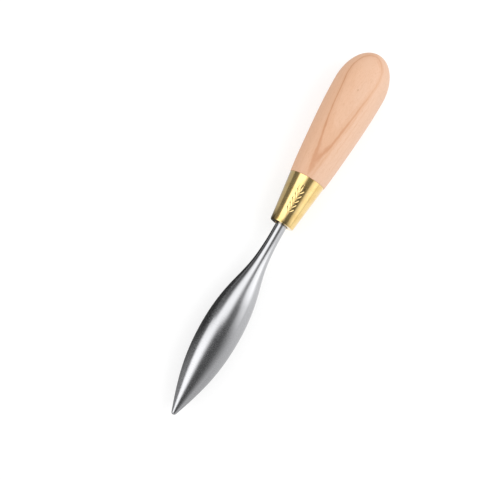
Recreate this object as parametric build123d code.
from build123d import *
import math
import os

# Hand dibber: a ground steel head, a brass ferrule and a turned beech handle.
# It is modelled along +X, from the tip at X = 0 to the butt of the grip, and is
# then laid down the way it rests on a table: on the belly of its pod and the
# belly of its grip, both on Z = 0. All sizes are in millimetres.

# Steel head: pod, neck and hidden tang
POD_NOSE = 63.0             # tip to the widest ring of the pod
POD_TAIL = 75.0             # widest ring to where the neck runs straight
POD_WIDTH = 27.8            # diameter of the widest ring
TIP_RADIUS = 1.85           # the point is rounded off, not sharp
NOSE_HALF_ANGLE = 19.8      # degrees, half angle of the point behind its rounding
NECK_SHOW = 7.2             # straight neck in front of the ferrule
NECK_WIDTH = 8.0            # diameter of the neck
TANG_LENGTH = 86.0          # from the ferrule's front face to the end of the tang
TANG_END_WIDTH = 5.2        # the tang tapers to this diameter
TANG_END_CHAMFER = 0.6

# Shape points of the pod's outline: share of the stretch, share of the width
NOSE_BULGE = (0.527, 0.803)     # counted from the tip
TAIL_SLOPE = (0.396, 0.772)     # counted back from the widest ring
TAIL_WAIST = (0.663, 0.430)
TAIL_HOLLOW = (0.810, 0.330)

# Brass ferrule
FERRULE_LENGTH = 35.2
FERRULE_FRONT = 17.0        # outer diameter at the front, before the rim is rounded
FERRULE_BACK = 25.6         # outer diameter at the wood
FERRULE_WALL = 0.9
FERRULE_RIM = 1.0           # rounding of the front rim
NECK_GAP = 0.7              # open gap between the neck and the pierced hole
BACK_EDGE = 0.15            # broken edge at the wood

# Leaf sprig pressed into the ferrule
SPRIG_LENGTH = 21.0
SPRIG_DEPTH = 0.3
SPRIG_STEM = 0.7            # width of the stem
SPRIG_TURN = 2.0            # degrees round the axis from the top line, towards -Y
LEAF_LENGTH = 4.0
LEAF_WIDTH = 1.7
LEAF_SPREAD = 38.0          # degrees between a leaf and the stem
LEAF_PAIRS = 5

# Beech handle
GRIP_LENGTH = 99.6          # shoulder to the end of the butt
GRIP_BELLY = 72.0           # shoulder to the widest ring
GRIP_WIDTH = 36.7           # diameter of the widest ring
SHOULDER_PROUD = 0.2        # the wood stands this far above the brass
SHOULDER_ROUND = 0.3
SHOULDER_FLARE = 8.0        # degrees, slope of the grip where it leaves the brass
TENON_SETBACK = 2.0         # clear space in front of the tenon, inside the ferrule
TENON_CHAMFER = 0.6
BORE_GAP = 0.3              # glue gap round the thick end of the tang
BORE_PAST = 2.0             # the bore runs this far past the tang
DRILL_ANGLE = 118.0         # degrees, point of the drill that bored the handle

# Shape points of the grip's outline, from the shoulder to the widest ring: share
# of the stretch, share of the swell
GRIP_RISE = (0.381, 0.532)
GRIP_CREST = (0.764, 0.915)
BUTT_FULLNESS = 0.56        # the butt is close to half an ellipsoid, which has 0.552

# Places along the axis
FERRULE_START = POD_NOSE + POD_TAIL + NECK_SHOW
SHOULDER = FERRULE_START + FERRULE_LENGTH
TOOL_END = SHOULDER + GRIP_LENGTH
TENON_START = FERRULE_START + FERRULE_WALL + TENON_SETBACK
TANG_END = FERRULE_START + TANG_LENGTH
BORE_END = TANG_END + BORE_PAST

# Radii worked out from the sizes above
POD_RADIUS = POD_WIDTH / 2
NECK_RADIUS = NECK_WIDTH / 2
TANG_END_RADIUS = TANG_END_WIDTH / 2
BORE_RADIUS = NECK_RADIUS + BORE_GAP
HOLE_RADIUS = NECK_RADIUS + NECK_GAP
GRIP_RADIUS = GRIP_WIDTH / 2
SHOULDER_RADIUS = FERRULE_BACK / 2 + SHOULDER_PROUD
FERRULE_SLOPE = (FERRULE_BACK - FERRULE_FRONT) / 2 / FERRULE_LENGTH


def ferrule_radius(x):
    """Outer radius of the ferrule's straight taper at X = x."""
    return FERRULE_FRONT / 2 + FERRULE_SLOPE * (x - FERRULE_START)


def socket_radius(x):
    """Inner radius of the ferrule, which is also the tenon's radius."""
    return ferrule_radius(x) - FERRULE_WALL


def turned(edges):
    """Solid of revolution about the tool's axis, from edges that end on the axis."""
    start = edges[0] @ 0
    end = edges[-1] @ 1
    return revolve(make_face([*edges, Line(end, start)]), Axis.X)


def cone(x_from, x_to, radius_at):
    """Turned solid with straight sides between two places on the axis."""
    outline = Polyline(
        (x_from, 0), (x_from, radius_at(x_from)), (x_to, radius_at(x_to)), (x_to, 0)
    )
    return turned(outline.edges())


def pod_outline():
    """Half outline of the pod, from the rounded tip to the straight neck."""
    slope = math.radians(NOSE_HALF_ANGLE)
    point = CenterArc((TIP_RADIUS, 0), TIP_RADIUS, 180, NOSE_HALF_ANGLE - 90)
    widest = (POD_NOSE, POD_RADIUS)
    bulge = (POD_NOSE * NOSE_BULGE[0], POD_RADIUS * NOSE_BULGE[1])
    nose = Spline(
        point @ 1, bulge, widest, tangents=[(math.cos(slope), math.sin(slope)), (1, 0)]
    )
    tail_points = [
        (POD_NOSE + POD_TAIL * along, POD_RADIUS * across)
        for along, across in (TAIL_SLOPE, TAIL_WAIST, TAIL_HOLLOW)
    ]
    neck_start = (POD_NOSE + POD_TAIL, NECK_RADIUS)
    tail = Spline(widest, *tail_points, neck_start, tangents=[(1, 0), (1, 0)])
    return [point, nose, tail]


def head_outline():
    """Half outline of the whole steel head: pod, neck and tapered tang."""
    pod = pod_outline()
    tang = Polyline(
        pod[-1] @ 1,
        (TENON_START, NECK_RADIUS),
        (TANG_END - TANG_END_CHAMFER, TANG_END_RADIUS),
        (TANG_END, TANG_END_RADIUS - TANG_END_CHAMFER),
        (TANG_END, 0),
    )
    return [*pod, *tang.edges()]


def grip_outline():
    """Half outline of the grip, from the shoulder's rounding to the butt."""
    corner = CenterArc(
        (SHOULDER + SHOULDER_ROUND, SHOULDER_RADIUS - SHOULDER_ROUND),
        SHOULDER_ROUND,
        180,
        SHOULDER_FLARE - 90,
    )
    swell = GRIP_RADIUS - SHOULDER_RADIUS
    body_points = [
        (SHOULDER + GRIP_BELLY * along, SHOULDER_RADIUS + swell * across)
        for along, across in (GRIP_RISE, GRIP_CREST)
    ]
    flare = math.radians(SHOULDER_FLARE)
    widest = (SHOULDER + GRIP_BELLY, GRIP_RADIUS)
    body = Spline(
        corner @ 1,
        *body_points,
        widest,
        tangents=[(math.cos(flare), math.sin(flare)), (1, 0)],
    )
    butt = Bezier(
        widest,
        (widest[0] + (GRIP_LENGTH - GRIP_BELLY) * BUTT_FULLNESS, GRIP_RADIUS),
        (TOOL_END, GRIP_RADIUS * BUTT_FULLNESS),
        (TOOL_END, 0),
    )
    return [corner, body, butt]


def bore():
    """The drilled hole for the tang, with the cone that the drill leaves."""
    cone_length = BORE_RADIUS / math.tan(math.radians(DRILL_ANGLE / 2))
    outline = Polyline(
        (TENON_START, 0),
        (TENON_START, BORE_RADIUS),
        (BORE_END, BORE_RADIUS),
        (BORE_END + cone_length, 0),
    )
    return turned(outline.edges())


def head():
    """Pod, neck and tang are one piece of steel."""
    return turned(head_outline())


def handle():
    """Turned grip with its tapered tenon, bored for the tang."""
    grip = grip_outline()
    tenon = Polyline(
        (TENON_START, 0),
        (TENON_START, socket_radius(TENON_START) - TENON_CHAMFER),
        (TENON_START + TENON_CHAMFER, socket_radius(TENON_START + TENON_CHAMFER)),
        (SHOULDER, socket_radius(SHOULDER)),
        grip[0] @ 0,
    )
    return turned([*tenon.edges(), *grip]) - bore()


def tang_glue():
    """Cured glue: all of the bore that the tang leaves free."""
    return bore() - head()


def leaf(place, angle):
    """Flat leaf with two arched sides, pointing away from the stem."""
    half = LEAF_WIDTH / 2
    upper = ThreePointArc((0, 0), (LEAF_LENGTH / 2, half), (LEAF_LENGTH, 0))
    lower = ThreePointArc((LEAF_LENGTH, 0), (LEAF_LENGTH / 2, -half), (0, 0))
    return Location((place, 0, 0), (0, 0, angle)) * make_face([upper, lower])


def sprig():
    """Flat sprig along +X: a stem, pairs of leaves and one leaf at its end."""
    last_leaf = SPRIG_LENGTH - LEAF_LENGTH
    stem_length = last_leaf + LEAF_LENGTH / 3
    shape = Location((stem_length / 2, 0, 0)) * Rectangle(stem_length, SPRIG_STEM)
    shape += leaf(last_leaf, 0)
    pitch = last_leaf / LEAF_PAIRS
    for pair in range(LEAF_PAIRS):
        for side in (1, -1):
            shape += leaf(pitch * (pair + 0.5), side * LEAF_SPREAD)
    return shape


def sprig_recess():
    """The metal that the sprig's stamp presses away, of even depth on the taper."""
    start = FERRULE_START + (FERRULE_LENGTH - SPRIG_LENGTH) / 2
    block = extrude(Location((start, 0, 0)) * sprig(), FERRULE_BACK)
    block = block - cone(FERRULE_START, SHOULDER, lambda x: ferrule_radius(x) - SPRIG_DEPTH)
    return Rotation(SPRIG_TURN, 0, 0) * block


def ferrule():
    """Thin tapered thimble with a rounded rim, a pierced end and the sprig."""
    rim = min(FERRULE_RIM, FERRULE_FRONT / 2 - HOLE_RADIUS)
    body = cone(FERRULE_START, SHOULDER, ferrule_radius)
    front_edge = body.edges().filter_by(GeomType.CIRCLE).sort_by(Axis.X)[0]
    body = fillet(front_edge, rim)
    back_edge = body.edges().filter_by(GeomType.CIRCLE).sort_by(Axis.X)[-1]
    body = chamfer(back_edge, BACK_EDGE)
    body = body - cone(FERRULE_START + FERRULE_WALL, SHOULDER, socket_radius)
    body = body - cone(FERRULE_START, SHOULDER, lambda x: HOLE_RADIUS)
    return body - sprig_recess()


def lowest(edges, tilt):
    """Lowest level of a turned outline about an axis that climbs by tilt degrees."""
    hanging = [Rotation(0, 0, tilt) * mirror(edge, Plane.XZ) for edge in edges]
    return min(edge.bounding_box().min.Y for edge in hanging)


def rest_tilt():
    """Climb of the axis, in degrees, that lays both bellies on one level."""
    span = SHOULDER + GRIP_BELLY - POD_NOSE
    tilt = math.degrees(math.asin((GRIP_RADIUS - POD_RADIUS) / span))
    for _ in range(6):
        step = lowest(grip_outline(), tilt) - lowest(pod_outline(), tilt)
        tilt -= math.degrees(step / span)
    return tilt


def laid_down(pieces):
    """All pieces in their resting pose, centred over the origin on Z = 0."""
    tilt = Rotation(0, -rest_tilt(), 0)
    tilted = {name: tilt * piece for name, piece in pieces.items()}
    box = Compound(list(tilted.values())).bounding_box()
    centre = box.center()
    place = Location((-centre.X, -centre.Y, -box.min.Z))
    return {name: place * piece for name, piece in tilted.items()}


pieces = laid_down(
    {
        "head": head(),
        "ferrule": ferrule(),
        "handle": handle(),
        "tang_glue": tang_glue(),
    }
)

os.makedirs("parts", exist_ok=True)
for name, piece in pieces.items():
    export_step(piece, f"parts/{name}.step")
